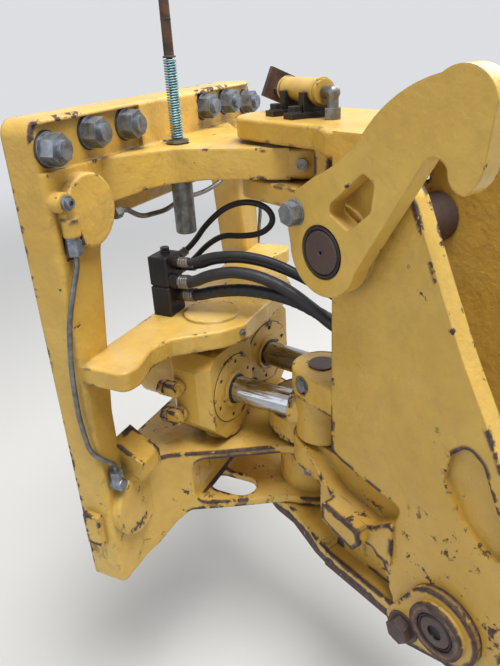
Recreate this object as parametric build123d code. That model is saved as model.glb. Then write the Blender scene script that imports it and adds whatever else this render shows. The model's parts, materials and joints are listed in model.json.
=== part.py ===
from build123d import *
import math
import os

# Swing carriage and swing post of a backhoe, in millimetres.
# X runs across the machine, +Y forward into the machine and +Z up.
# The origin lies on the carriage's flat rear face, on its centre line, level with the inner flange bolts.

# Clearances
pin_clearance = 0.05
sliding_clearance = 0.05
seat_gap = 0.3
plate_gap = 5.0

# Carriage frame
half_width = 312.0
frame_depth = 58.0
frame_top = 30.0
frame_bottom = -757.0
frame_corner = 22.0
cast_edge = 9.0
window_half_top = 216.0
window_half_low = 257.0
window_taper_z = -420.0
window_top = -125.0
window_corner = 55.0
nut_field_depth = 8.0
nut_field_inner = 88.0
nut_field_low = -36.0
nut_field_high = 23.0
boss_height = 16.0
upper_boss = (248.0, -97.0, 51.5)
lower_boss = (246.0, -608.0, 60.0)
clamp_plug_seat = (297.0, -75.0, 14.0)
stop_lug_x = 240.0
stop_lug_width = 50.0
stop_lug_reach = 104.0
wear_pad_thickness = 12.0
wear_pad_z = -628.0

# Swing axis and its two bearings
axis_y = -298.0
swing_as_parked = 27.0
swing_limit = 90.0
ear_radius = 75.0
ear_top = -37.0
ear_bottom = -82.0
ear_root_half = 205.0
ear_neck_half = 102.0
ear_rim = 7.0
ear_root_bottom = -104.0
swing_pin_radius = 30.0

# Trunnion plate
trunnion_plate_top = -313.0
trunnion_plate_thickness = 32.0
trunnion_plate_reach = 134.0
trunnion_x = 76.0
trunnion_y = -148.0
trunnion_pin_radius = 24.0
trunnion_disc_radius = 48.0
trunnion_disc_height = 4.0

# Lower box arm
arm_top = -550.0
arm_tip_bottom = -676.0
arm_tip_radius = 80.0
arm_root_half = 250.0
arm_wall = 22.0
arm_skin = 14.0
arm_open_corner = 24.0
arm_plug_drop = 62.0
arm_boss_radius = 60.0
arm_window_start = -131.0
arm_drain_length = 104.0
arm_drain_width = 58.0
arm_drain_place = (88.0, -165.0)

# Swing cylinders
cylinder_z = -452.0
block_inner = 64.0
block_outer = 74.0
block_front = 33.0
block_rear = 50.0
block_height = 176.0
block_gap = 5.0
barrel_radius = 46.0
barrel_tail = 146.0
gland_radius = 61.0
gland_depth = 9.0
gland_face = 2.0
gland_slots = 6
collar_radius = 33.0
rod_radius = 23.5
rod_per_degree = 0.9
rod_cover = 5.0
eye_radius = 43.0
eye_socket = 14.0
eye_height = 78.0
port_levels = (-424.0, -478.0)
lug_pin_radius = 21.0

# Swing post
post_half = 110.0
cheek_thickness = 28.0
post_front = 164.0
fork_half = 85.0
fork_nose = 104.0
fork_nose_corner = 58.0
fork_thickness = 32.0
throat_front = 104.0
throat_radius = 83.0
second_fork_back = -132.0
arm_clear_y = 145.0
lug_x = 60.0
lug_y = -92.0
lug_nose_radius = 48.0
lug_bolt_seat = 4.0
upper_lug_top = -365.0
eye_gap = 2.0
arm_gap = 8.0
foot_plate_thickness = 32.0
foot_plate_radius = 85.0
shelf_half = 116.0
shelf_bottom = -600.0
recess_depth = 27.0
recess_web = 14.0
stop_block_stand = 22.0
keeper_thickness = 14.0
pocket_depth = 10.0

# Boom pins in the swing post
hook_pin_y = -183.0
hook_pin_z = -139.0
hook_pin_radius = 35.0
hook_boss_radius = 54.0
foot_pin_y = -387.0
foot_pin_z = -634.0
foot_pin_radius = 29.0
keeper_bolt = (-330.0, -683.0)

# Boom lock hook
hook_gap = 12.0
hook_thickness = 26.0

# Lock cylinder on the upper fork
lock_axis_z = 34.0
lock_x = -12.0
lock_turn = -12.0
lock_radius = 17.0
lock_front_y = 44.0
lock_length = 108.0
lock_rod_radius = 6.0

# Swing lock pin in the upper ear
swing_lock_x = -56.0
swing_lock_y = -101.0
swing_lock_radius = 17.0
pull_rod_radius = 4.5
manifold_x = -92.0
manifold_y = -74.0
manifold_half_width = 23.0
manifold_half_depth = 18.0
manifold_height = 104.0
spring_radius = 8.5
spring_wire = 1.3
spring_pitch = 4.0
spring_bottom = -30.0
spring_top = 84.0

# Hoses from the manifold to the swing post, and the fixed pipes
port_length = 12.0
bulkhead_y = -172.0
bulkhead_thickness = 8.0
bulkhead_gap = 8.0
bulkhead_high = 22.0
bulkhead_top = -236.0
work_hose_radius = 9.5
pilot_hose_radius = 6.0
loop_hose_radius = 5.0
pipe_radius = 4.0
union_x = 290.0
union_y = -68.0
union_top = -122.0
union_low = -540.0
union_lobe = 12.0
union_reach = 26.0
supply_x = 196.0
supply_level = -116.0

# Each hose: its radius, its port on the manifold, its way over the plate and its port in the bulkhead
hoses = {
    "work_upper": (
        work_hose_radius,
        (-100.0, -252.0),
        ((-97.0, -160.0, -236.0), (-92.0, -215.0, -224.0), (-91.0, -285.0, -240.0), (-94.0, -338.0, -272.0)),
        (-50.0, -300.0),
    ),
    "work_lower": (
        work_hose_radius,
        (-88.0, -279.0),
        ((-85.0, -162.0, -268.0), (-80.0, -225.0, -259.0), (-75.0, -298.0, -268.0), (-70.0, -352.0, -296.0)),
        (-18.0, -313.0),
    ),
    "pilot_upper": (
        pilot_hose_radius,
        (-97.0, -219.0),
        ((-91.0, -162.0, -204.0), (-84.0, -224.0, -198.0), (-83.0, -290.0, -211.0), (-83.0, -344.0, -240.0)),
        (-36.0, -262.0),
    ),
    "pilot_lower": (
        pilot_hose_radius,
        (-78.0, -231.0),
        ((-74.0, -162.0, -217.0), (-68.0, -220.0, -212.0), (-66.0, -285.0, -226.0), (-63.0, -347.0, -254.0)),
        (-6.0, -270.0),
    ),
}
loop_start = (-80.0, -224.0)
loop_end = (-78.0, -250.0)
loop_way = (
    (-29.0, -100.0, -203.0), (-28.0, -120.0, -176.0), (-22.0, -158.0, -143.0),
    (-20.0, -198.0, -131.0), (-19.0, -234.0, -139.0), (-19.0, -246.0, -162.0), (-20.0, -224.0, -184.0),
    (-18.0, -184.0, -192.0), (-14.0, -146.0, -194.0), (-11.0, -110.0, -216.0), (-18.0, -84.0, -244.0),
)

# Flange bolts, M24
bolt_places = ((118.0, 0.0), (202.0, 0.0), (287.0, -9.0))
bolt_radius = 12.0
nut_across_flats = 36.0
nut_height = 21.5
washer_radius = 22.0
washer_thickness = 4.0
bolt_end = 7.0

arm_root_y = -frame_depth + 8.0
arm_belly_depth = arm_tip_bottom - frame_bottom
trunnion_plate_bottom = trunnion_plate_top - trunnion_plate_thickness
upper_lug_bottom = cylinder_z + eye_height / 2 + eye_gap
upper_lug_thickness = upper_lug_top - upper_lug_bottom
lower_lug_top = cylinder_z - eye_height / 2 - eye_gap
lower_lug_bottom = arm_top + arm_gap
lug_bolt_z = upper_lug_top - 17.0
hook_inner_x = post_half + hook_gap
foot_plate_top = arm_tip_bottom - plate_gap
foot_plate_bottom = foot_plate_top - foot_plate_thickness
fork_bottom = ear_top + plate_gap
fork_top = fork_bottom + fork_thickness
second_fork_top = ear_bottom - plate_gap
second_fork_bottom = second_fork_top - fork_thickness
recess_face = post_half - recess_depth
boom_gap_half = recess_face - recess_web
cheek_inner = post_half - cheek_thickness


def outline(points):
    return make_face(Polyline(*points, close=True))


def mirrored(points):
    return list(points) + [(-x, y) for x, y in reversed(points)]


def slab(face, bottom, top):
    return extrude(Pos(0, 0, bottom) * face, amount=top - bottom)


def side_slab(face, x_low, x_high):
    # The face's own x is the part's Y, and its own y is the part's Z.
    return Pos(x_low, 0, 0) * extrude(Plane.YZ * face, amount=x_high - x_low)


def post(x, y, radius, bottom, top):
    return Pos(x, y, (bottom + top) / 2) * Cylinder(radius, top - bottom)


def cross_pin(y, z, radius, x_low, x_high):
    return Pos((x_low + x_high) / 2, y, z) * Rot(0, 90, 0) * Cylinder(radius, x_high - x_low)


def hexagon(across_flats):
    return RegularPolygon(across_flats / 2, 6, major_radius=False)


def frontal(x, z, y, radius, length):
    # A cylinder along Y, from y towards -Y.
    return Pos(x, y - length / 2, z) * Rot(90, 0, 0) * Cylinder(radius, length)


def save(name, shape):
    export_step(shape, f"parts/{name}.step")


def soft_slab(face, bottom, top, radius):
    # A plate whose upper and lower rims are rounded as a casting's are.
    plate = slab(face, bottom, top)
    rims = plate.edges().filter_by(GeomType.LINE, reverse=True) + plate.edges().filter_by(GeomType.LINE)
    rims = [e for e in rims if abs(e.center().Z - top) < 0.01 or abs(e.center().Z - bottom) < 0.01]
    return fillet(rims, radius)


def upper_ear():
    # From above: a wide root that sweeps in to the bearing's round tip.
    plan = outline(mirrored([
        (ear_root_half, arm_root_y),
        (ear_root_half - 42.0, -82.0),
        (ear_neck_half + 8.0, -118.0),
        (ear_neck_half - 6.0, -200.0),
        (ear_radius, axis_y),
    ]))
    sweep = [v for v in plan.vertices() if axis_y + 1.0 < v.Y < arm_root_y - 1.0]
    plan = fillet(sweep, 30.0)
    profile = outline([
        (arm_root_y, ear_top),
        (axis_y - ear_radius, ear_top),
        (axis_y - ear_radius, ear_bottom),
        (-175.0, ear_bottom),
        (-95.0, ear_bottom - 8.0),
        (arm_root_y, ear_root_bottom),
    ])
    arm = slab(plan, ear_root_bottom - 5.0, frame_top) & side_slab(profile, -half_width, half_width)
    bearing = post(0, axis_y, ear_radius, ear_bottom, ear_top)
    return arm + fillet(bearing.edges().filter_by(GeomType.CIRCLE), ear_rim)


def trunnion_plate():
    plan = outline(mirrored([
        (half_width - 2.0, arm_root_y),
        (half_width - 2.0, -trunnion_plate_reach),
        (half_width - 32.0, -trunnion_plate_reach - 5.0),
        (half_width - 81.0, -trunnion_plate_reach + 8.0),
        (half_width - 124.0, -trunnion_plate_reach - 2.0),
        (trunnion_x + 59.0, -trunnion_plate_reach - 64.0),
        (trunnion_x + 24.0, -trunnion_plate_reach - 88.0),
    ]))
    front = [v for v in plan.vertices() if v.Y < arm_root_y - 1.0]
    plate = soft_slab(fillet(front, 17.0), trunnion_plate_bottom, trunnion_plate_top, 4.0)
    for side in (-1, 1):
        plate += post(
            side * trunnion_x, trunnion_y, trunnion_disc_radius,
            trunnion_plate_top - 1.0, trunnion_plate_top + trunnion_disc_height,
        )
    return plate


def box_arm():
    # Two plates over and under a hollow root, with a round boss between them at the tip.
    plan = outline(mirrored([
        (arm_root_half, arm_root_y),
        (184.0, -96.0),
        (140.0, -180.0),
        (arm_tip_radius + 2.0, -280.0),
        (arm_tip_radius, axis_y),
    ]))
    sweep = [v for v in plan.vertices() if axis_y + 5.0 < v.Y < arm_root_y - 1.0]
    plan = fillet(sweep, 40.0)
    profile = outline([
        (arm_root_y, arm_top),
        (axis_y - arm_tip_radius, arm_top),
        (axis_y - arm_tip_radius, arm_tip_bottom),
        (-122.0, arm_tip_bottom),
        (-96.0, arm_tip_bottom - 0.33 * arm_belly_depth),
        (-74.0, arm_tip_bottom - 0.72 * arm_belly_depth),
        (arm_root_y, frame_bottom),
    ])
    belly = [v for v in profile.vertices() if -130.0 < v.X < -70.0]
    profile = fillet(belly, 0.24 * arm_belly_depth)
    arm = slab(plan, frame_bottom, arm_top) & side_slab(profile, -half_width, half_width)
    arm += post(0, axis_y, arm_tip_radius, arm_tip_bottom, arm_top)
    root_profile = outline([
        (arm_root_y, arm_top - arm_skin),
        (arm_window_start + 1.0, arm_top - arm_skin),
        (arm_window_start + 1.0, arm_tip_bottom + arm_skin),
        (-104.0, arm_tip_bottom + arm_skin - 14.0),
        (arm_root_y, frame_bottom + arm_wall + 24.0),
    ])
    root_plan = offset(plan, -arm_wall, kind=Kind.INTERSECTION)
    hollow = slab(root_plan, frame_bottom, arm_top) & side_slab(root_profile, -half_width, half_width)
    # Forward of its window's edge the arm is open at both sides, round the boss.
    open_height = arm_top - arm_tip_bottom - 2 * arm_skin
    open_side = side_slab(RectangleRounded(240.0, open_height, min(arm_open_corner, 0.45 * open_height)).moved(
        Location((arm_window_start - 120.0, (arm_top + arm_tip_bottom) / 2))), -half_width, half_width)
    boss = Circle(arm_boss_radius).moved(Location((0, axis_y)))
    core = slab(boss, arm_tip_bottom, arm_top)
    drain = Rot(0, 0, 90) * SlotOverall(arm_drain_length, arm_drain_width)
    arm -= hollow
    arm -= open_side - core
    for side in (-1, 1):
        x, y = arm_drain_place
        arm -= slab(Pos(side * x, y) * drain, frame_bottom, arm_tip_bottom + arm_skin + 5.0)
    return arm


def frame_window():
    opening = outline(mirrored([
        (window_half_top, window_top),
        (window_half_low, window_taper_z),
        (window_half_low, arm_top),
    ]))
    return fillet(opening.vertices(), window_corner)


def stop_lug(side):
    # The block on the column's inner edge that the swing post comes up against.
    profile = outline([
        (arm_root_y, arm_top + 74.0),
        (-78.0, arm_top + 55.0),
        (-stop_lug_reach, arm_top + 40.0),
        (-stop_lug_reach, arm_top + 8.0),
        (arm_root_y, arm_top - 12.0),
    ])
    low = side * stop_lug_x - stop_lug_width / 2
    return side_slab(fillet(profile.vertices().sort_by(Axis.X)[:2], 6.0), low, low + stop_lug_width)


def carriage_casting():
    face = Pos(0, (frame_top + frame_bottom) / 2) * RectangleRounded(
        2 * half_width, frame_top - frame_bottom, frame_corner)
    casting = extrude(Plane.XZ * (face - frame_window()), amount=frame_depth)
    front_rims = [e for e in casting.edges() if abs(e.center().Y + frame_depth) < 0.01]
    casting = fillet(front_rims, cast_edge)
    casting += upper_ear()
    casting += trunnion_plate() - side_slab(
        Pos(arm_root_y / 2 + 4.0, trunnion_plate_top) * Rectangle(-arm_root_y + 8.0, 100.0),
        -window_half_top, window_half_top)
    casting += box_arm()
    for side in (-1, 1):
        for x, level, radius in (upper_boss, lower_boss):
            boss = frontal(side * x, level, -frame_depth + 8.0, radius, boss_height + 8.0)
            casting += fillet(boss.edges().sort_by(Axis.Y)[0], 4.0)
        plug_x, plug_z, plug_lobe = clamp_plug_seat
        casting += frontal(side * plug_x, plug_z, -frame_depth + 8.0, plug_lobe, boss_height + 8.0)
        casting += post(side * union_x, union_y, union_lobe, union_top, upper_boss[1])
        casting -= post(side * union_x, union_y, union_lobe + 1.0, union_top - union_reach - 8.0, union_top)
        casting += stop_lug(side)
        casting += Pos(side * (half_width + wear_pad_thickness / 2 - 1.0), -frame_depth + 32.0, wear_pad_z) * Box(
            wear_pad_thickness, 32.0, 62.0)
        field_width = half_width - nut_field_inner + 10.0
        field = Pos(
            side * (nut_field_inner + field_width / 2),
            -frame_depth + nut_field_depth / 2,
            (nut_field_low + nut_field_high) / 2,
        ) * Box(field_width, nut_field_depth, nut_field_high - nut_field_low)
        casting -= field
        for x, z in bolt_places:
            casting -= frontal(side * x, z, 1.0, bolt_radius, frame_depth + 2.0)
        casting -= post(
            side * trunnion_x, trunnion_y, trunnion_pin_radius + pin_clearance,
            trunnion_plate_bottom - 1.0, trunnion_plate_top - 12.0,
        )
        casting -= post(
            side * trunnion_x, trunnion_y, trunnion_pin_radius + pin_clearance,
            arm_top - arm_skin - 1.0, arm_top + 1.0,
        )
    casting -= post(swing_lock_x, swing_lock_y, swing_lock_radius + pin_clearance, -200.0, ear_top + 1.0)
    return casting - post(0, axis_y, swing_pin_radius, frame_bottom, frame_top)


def flange_bolts():
    group = []
    seat = -frame_depth + nut_field_depth
    for side in (-1, 1):
        for x, z in bolt_places:
            length = -seat + washer_thickness + nut_height + bolt_end
            bolt = frontal(side * x, z, 0.0, bolt_radius, length)
            bolt += frontal(side * x, z, seat, washer_radius, washer_thickness)
            nut = Pos(side * x, seat - washer_thickness, z) * extrude(
                Plane.XZ * Rot(0, 0, 17.0) * hexagon(nut_across_flats), amount=nut_height)
            group.append(bolt + nut)
    return Compound(children=group)


def swing_pin(bottom, top):
    pin = post(0, axis_y, swing_pin_radius - pin_clearance, bottom, top)
    return chamfer(pin.edges().filter_by(GeomType.CIRCLE), 2.0)


def fork_outline(nose, back):
    # A blunt nose with rounded corners, flaring at the back to the width of the post.
    plate = outline(mirrored([
        (fork_half, nose),
        (fork_half, -100.0),
        (post_half, -150.0),
        (post_half, -215.0),
    ]))
    plate = fillet(plate.vertices().sort_by(Axis.Y)[-2:], fork_nose_corner)
    return plate - Pos(0, back - 100.0) * Rectangle(4 * post_half, 200.0)


def lug_outline():
    # Two round noses that run back into the post's front.
    body = Pos(0, (lug_y - post_front - 32.0) / 2) * Rectangle(
        2 * (lug_x + lug_nose_radius), post_front + 32.0 + lug_y)
    for side in (-1, 1):
        body += Pos(side * lug_x, lug_y) * Circle(lug_nose_radius)
    return body


def cheek_profile():
    # Seen from the side: upright at the front, leaning back behind to the boom's foot.
    face = outline([
        (-post_front, fork_top),
        (-232.0, fork_top),
        (-288.0, -62.0),
        (-337.0, -165.0),
        (-372.0, -235.0),
        (-431.0, -339.0),
        (-478.0, -450.0),
        (-484.0, -560.0),
        (-462.0, -668.0),
        (-430.0, foot_plate_bottom),
        (-150.0, foot_plate_bottom),
        (-post_front, -480.0),
    ])
    heel = [v for v in face.vertices() if v.Y < -500.0 and v.X < -300.0]
    back = [v for v in face.vertices() if -480.0 < v.Y < -10.0 and v.X < -200.0]
    return fillet(heel + back, 30.0)


def gutter_profile():
    # The upper recess in the cheek's side, between its lower rib and the shelf's floor.
    face = outline([
        (-30.0, upper_lug_bottom),
        (-78.0, upper_lug_bottom),
        (-151.0, -455.0),
        (-183.0, -474.0),
        (-263.0, -486.0),
        (-302.0, -488.0),
        (-292.0, -520.0),
        (-250.0, -556.0),
        (-180.0, -548.0),
        (-100.0, lower_lug_top - 8.0),
        (-60.0, lower_lug_top),
        (-30.0, lower_lug_top),
    ])
    inner = [v for v in face.vertices() if v.X < -90.0]
    return fillet(inner, 11.0)


def lower_recess_profile():
    face = outline([
        (-110.0, -592.0),
        (-228.0, -596.0),
        (-258.0, -588.0),
        (-276.0, -612.0),
        (-300.0, foot_plate_top + 1.0),
        (-110.0, foot_plate_top + 1.0),
    ])
    inner = [v for v in face.vertices() if v.X < -200.0 and v.Y > foot_plate_top + 5.0]
    return fillet(inner, 9.0)


def shelf_outline():
    # The lower lugs, spread backwards into a shelf that stands out from the cheeks.
    body = lug_outline() + Circle(arm_tip_radius) + Pos(0, -60.0) * Rectangle(2 * lug_x, 120.0)
    return body + outline(mirrored([(100.0, -80.0), (shelf_half, -150.0), (shelf_half, -292.0)]))


def swing_post():
    # Built with the swing axis as its own Z axis and the boom behind it, along -Y.
    body = soft_slab(fork_outline(fork_nose, -215.0), fork_bottom, fork_top, 5.0)
    body += soft_slab(fork_outline(fork_nose - 6.0, second_fork_back), second_fork_bottom, second_fork_top, 4.0)
    body += Pos(0, -(throat_front + second_fork_back * -1) / 2, (second_fork_bottom + fork_top) / 2) * Box(
        2 * fork_half, -second_fork_back - throat_front, fork_top - second_fork_bottom - 2.0)
    cheek = side_slab(cheek_profile(), cheek_inner, post_half)
    body += cheek + mirror(cheek, Plane.YZ)
    body += soft_slab(lug_outline(), upper_lug_bottom, upper_lug_top, 3.0)
    shelf = slab(shelf_outline(), shelf_bottom, lower_lug_top)
    shelf -= slab(
        Pos(0, (100.0 - arm_clear_y) / 2) * Rectangle(400.0, 100.0 + arm_clear_y), shelf_bottom - 5.0, lower_lug_bottom)
    shelf -= slab(
        Pos(0, -post_front - 132.0) * Rectangle(2 * boom_gap_half, 200.0), shelf_bottom - 5.0, lower_lug_top + 5.0)
    body += shelf
    foot = Circle(foot_plate_radius) + Pos(0, -120.0) * Rectangle(2 * foot_plate_radius, 240.0)
    foot += outline(mirrored([(foot_plate_radius, -40.0), (104.0, -120.0), (post_half, -175.0), (post_half, -330.0)]))
    body += slab(foot, foot_plate_bottom, foot_plate_top)
    # Walls between the cheeks, behind the lugs and above the foot plate.
    upper_wall = Pos(0, -post_front - 16.0, (upper_lug_top + upper_lug_bottom) / 2 + 10.0) * Box(
        2 * cheek_inner + 2.0, 32.0, upper_lug_thickness + 20.0)
    lower_wall = Pos(0, -post_front - 16.0, (lower_lug_top + foot_plate_bottom) / 2) * Box(
        2 * cheek_inner + 2.0, 32.0, lower_lug_top - foot_plate_bottom)
    body += upper_wall + lower_wall
    for side in (-1, 1):
        low, high = sorted((side * boom_gap_half, side * cheek_inner))
        body += Pos((low + high) / 2, -post_front - 72.0, -555.0) * Box(high - low, 148.0, 250.0)
        low, high = sorted((side * recess_face, side * (shelf_half + 40.0)))
        body -= side_slab(gutter_profile(), low, high)
        body -= side_slab(lower_recess_profile(), low, high)
        low, high = sorted((side * (post_half - 6.0), side * (shelf_half + stop_block_stand)))
        body += side_slab(stop_block_profile(), low, high)
        body -= post(side * lug_x, lug_y, lug_pin_radius + pin_clearance, lower_lug_bottom + 10.0, upper_lug_top + 5.0)
        low, high = sorted((side * (lug_x + lug_nose_radius - lug_bolt_seat), side * (lug_x + lug_nose_radius + 10.0)))
        body -= cross_pin(lug_y - 4.0, lug_bolt_z, 15.0, low, high)
    for z_low, z_high in ((second_fork_bottom - 20.0, fork_top + 5.0), (foot_plate_bottom - 5.0, lower_lug_top + 5.0)):
        body -= post(0, 0, swing_pin_radius, z_low, z_high)
    body -= post(0, 0, throat_radius, ear_bottom - plate_gap, ear_top + plate_gap)
    body -= post(0, 0, throat_radius + 2.0, foot_plate_top, lower_lug_bottom)
    for low, high in ((-post_half - 4.0, -cheek_inner), (cheek_inner, post_half)):
        body += cross_pin(hook_pin_y, hook_pin_z, hook_boss_radius, low, high)
    body -= cross_pin(hook_pin_y, hook_pin_z, hook_pin_radius, -post_half - 5.0, post_half + 5.0)
    body -= cross_pin(foot_pin_y, foot_pin_z, foot_pin_radius, -post_half - 5.0, post_half + 5.0)
    for side in (-1, 1):
        low, high = sorted((side * (post_half - pocket_depth), side * (post_half + 1.0)))
        body -= side_slab(pocket_profile(), low, high)
    return body


def stop_block_profile():
    face = outline([
        (-172.0, -546.0),
        (-246.0, -556.0),
        (-250.0, -580.0),
        (-238.0, -596.0),
        (-172.0, -580.0),
    ])
    return fillet(face.vertices(), 4.0)


def pocket_profile():
    # A long hollow in the side of the cheek's thick rear rim.
    face = outline([
        (-362.0, -402.0),
        (-368.0, -362.0),
        (-390.0, -338.0),
        (-412.0, -352.0),
        (-448.0, -430.0),
        (-452.0, -476.0),
        (-430.0, -480.0),
        (-392.0, -450.0),
    ])
    return fillet(face.vertices(), 12.0)


def keeper_outline(radius):
    # A rounded plate that runs from the foot pin's head to its locking bolt.
    return make_hull(
        (Pos(foot_pin_y, foot_pin_z) * Circle(radius)).edges()
        + (Pos(*keeper_bolt) * Circle(radius - 26.0)).edges()
    )


def foot_pin_keeper():
    # Stands on the near cheek, and the pin's end is held inside it.
    outer = -post_half
    plate = side_slab(keeper_outline(58.0), outer - keeper_thickness, outer)
    collar = cross_pin(foot_pin_y, foot_pin_z, foot_pin_radius + 13.0, outer - keeper_thickness - 10.0, outer)
    body = plate + collar
    return body - cross_pin(foot_pin_y, foot_pin_z, foot_pin_radius + pin_clearance, outer - 60.0, outer + 10.0)


def side_bolt(x, y, z, across_flats, head, washer):
    # A hexagon head and its washer, seen from the side, standing out along -X from x.
    ring = cross_pin(y, z, washer, x - 3.0, x)
    cap = Pos(x - 3.0, y, z) * extrude(Plane.YZ * Rot(0, 0, 12.0) * hexagon(across_flats), amount=-head)
    nose = cross_pin(y, z, across_flats / 2 - 1.0, x - 3.0 - head - 1.0, x - 3.0 - head)
    return ring + cap + nose


def placed(shape):
    # From the post's own frame to its place on the carriage, swung to the side as parked.
    return Pos(0, axis_y, 0) * Rot(0, 0, -swing_as_parked) * shape


def parked_point(x, y):
    turn = math.radians(-swing_as_parked)
    return (
        x * math.cos(turn) - y * math.sin(turn),
        x * math.sin(turn) + y * math.cos(turn) + axis_y,
    )


def cylinder_frame(side):
    # Where a cylinder stands: the turn of its barrel about the trunnion and the eye's distance.
    eye_x, eye_y = parked_point(side * lug_x, lug_y)
    dx = eye_x - side * trunnion_x
    dy = eye_y - trunnion_y
    return math.degrees(math.atan2(dx, -dy)), math.hypot(dx, dy)


def cylinder_placed(shape, side):
    turn, reach = cylinder_frame(side)
    return Pos(side * trunnion_x, trunnion_y, 0) * Rot(0, 0, turn) * shape


def block_section():
    # Seen along the rod: an eight-sided face, cut back most at its lower corners.
    top = cylinder_z + block_height / 2 - block_gap
    foot = cylinder_z - block_height / 2
    return outline([
        (block_inner, top - 18.0),
        (block_inner - 18.0, top),
        (-block_outer + 24.0, top),
        (-block_outer, top - 24.0),
        (-block_outer, foot + 44.0),
        (-block_outer + 40.0, foot),
        (block_inner - 34.0, foot),
        (block_inner, foot + 40.0),
    ])


def trunnion_barrel():
    # Its own frame has the trunnion at the origin, the rod leaving along -Y and the ports on the -X side.
    block = Pos(0, block_rear, 0) * extrude(Plane.XZ * block_section(), amount=block_front + block_rear)
    plan = outline([
        (block_inner, -block_front),
        (block_inner, 20.0),
        (block_inner - 26.0, block_rear),
        (-block_outer + 10.0, block_rear),
        (-block_outer, block_rear - 12.0),
        (-block_outer, -block_front + 26.0),
        (-block_outer + 9.0, -block_front),
    ])
    block = block & slab(plan, cylinder_z - block_height, cylinder_z + block_height)
    body = block + frontal(0, cylinder_z, barrel_tail, barrel_radius, barrel_tail - block_rear + 1.0)
    top_of_block = cylinder_z + block_height / 2 - block_gap
    foot_of_block = cylinder_z - block_height / 2
    body += post(0, 0, trunnion_pin_radius, top_of_block - 1.0, trunnion_plate_top - 14.0)
    body += post(0, 0, trunnion_pin_radius, arm_top - arm_skin + 2.0, foot_of_block + 1.0)
    body += post(0, 0, trunnion_pin_radius + 11.0, arm_top + 4.0, foot_of_block + 1.0)
    bore_length = barrel_tail - 8.0 + block_front - gland_depth
    body -= frontal(0, cylinder_z, barrel_tail - 8.0, rod_radius + 8.0, bore_length)
    body -= frontal(0, cylinder_z, -block_front + gland_depth, gland_radius + seat_gap, gland_depth + 1.0)
    for level in port_levels:
        body -= Pos(-block_outer, block_rear - 22.0, level) * Rot(0, 90, 0) * Cylinder(9.0, 24.0)
    return body


def gland():
    # Screwed into the block's face, with a slotted rim for its spanner and a wiper collar round the rod.
    ring = frontal(0, cylinder_z, -block_front + gland_depth, gland_radius, gland_depth + gland_face)
    ring = fillet(ring.edges().sort_by(Axis.Y)[0], 1.5)
    for k in range(gland_slots):
        turn = math.radians(360.0 * k / gland_slots + 20.0)
        reach = gland_radius - 11.0
        x = reach * math.cos(turn)
        z = cylinder_z + reach * math.sin(turn)
        ring -= frontal(x, z, -block_front + 3.0, 3.5, 10.0)
    ring += frontal(0, cylinder_z, -block_front, collar_radius, gland_face + 5.0)
    return ring - frontal(0, cylinder_z, -block_front + 15.0, rod_radius + sliding_clearance, 40.0)


def port_fittings():
    group = []
    for level in port_levels:
        y = block_rear - 22.0
        stud = Pos(-block_outer + 4.0, y, level) * Rot(0, 90, 0) * Cylinder(9.0 - pin_clearance, 14.0)
        collar = Pos(-block_outer - 5.0 - seat_gap, y, level) * Rot(0, 90, 0) * Cylinder(13.0, 10.0)
        elbow = Pos(-block_outer - 16.0, y + 4.0, level) * Box(16.0, 26.0, 22.0)
        nut = Pos(-block_outer - 16.0, y + 16.0, level) * extrude(Plane.XZ * hexagon(24.0), amount=-12.0)
        group.append(stud + collar + elbow + nut)
    return Compound(children=group)


def rod_inner_end(side):
    # How far the rod runs into its barrel, so that it still fills the gland when it is furthest out.
    turn, reach = cylinder_frame(side)
    swing_away = swing_limit + side * -1 * swing_as_parked
    furthest = reach + rod_per_degree * swing_away
    return furthest - block_front + rod_cover - reach


def rod_eye_blank(side):
    turn, reach = cylinder_frame(side)
    eye = post(0, -reach, eye_radius, cylinder_z - eye_height / 2, cylinder_z + eye_height / 2)
    flat = -reach + eye_radius + 7.0
    return eye + frontal(0, cylinder_z, flat, rod_radius + 9.0, flat + reach)


def swing_rod(side):
    turn, reach = cylinder_frame(side)
    inner_end = rod_inner_end(side)
    flat = -reach + eye_radius + 7.0 - eye_socket
    return frontal(0, cylinder_z, inner_end, rod_radius, inner_end - flat)


def rod_eye(side):
    turn, reach = cylinder_frame(side)
    flat = -reach + eye_radius + 7.0
    eye = rod_eye_blank(side) - frontal(0, cylinder_z, flat + 1.0, rod_radius + pin_clearance, eye_socket + 1.0)
    return eye + post(0, -reach, lug_pin_radius, cylinder_z - eye_height / 2 - 1.5, cylinder_z + eye_height / 2 + 1.5)


def lug_pin(side):
    # The pin's two ends, held in the post above and below the rod's eye.
    top = post(side * lug_x, lug_y, lug_pin_radius, upper_lug_bottom, upper_lug_top + 3.0)
    foot = post(side * lug_x, lug_y, lug_pin_radius, lower_lug_bottom + 10.0, lower_lug_top)
    return placed(Compound(children=[top, foot]))


def contour(start, *steps):
    # A closed outline of lines and arcs: a step is an end point, or a point on the arc and its end.
    edges = []
    here = start
    for step in steps:
        if len(step) == 1:
            edges.append(Line(here, step[0]))
        else:
            edges.append(ThreePointArc(here, *step))
        here = step[-1]
    edges.append(Line(here, start))
    return make_face(Wire(edges))


def hook_blade():
    # Side view: the pin's lobe below, the arched back above and the claw opening to the rear.
    return contour(
        (-118.0, -92.0),
        ((-121.0, -79.0), (-132.0, -72.0)),
        ((-172.0, -47.0),),
        ((-212.0, -25.0), (-245.0, 4.0)),
        ((-288.0, 45.0), (-343.0, 68.0)),
        ((-385.0, 70.0), (-402.0, 46.0)),
        ((-396.0, -10.0),),
        ((-389.0, -29.0), (-378.0, -40.0)),
        ((-367.0, -37.0), (-357.0, -20.0)),
        ((-343.0, -8.0), (-326.0, -18.0)),
        ((-240.0, -152.0),),
        ((-183.0, -196.5), (-126.0, -140.0)),
        ((-119.0, -105.0),),
    )


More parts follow.
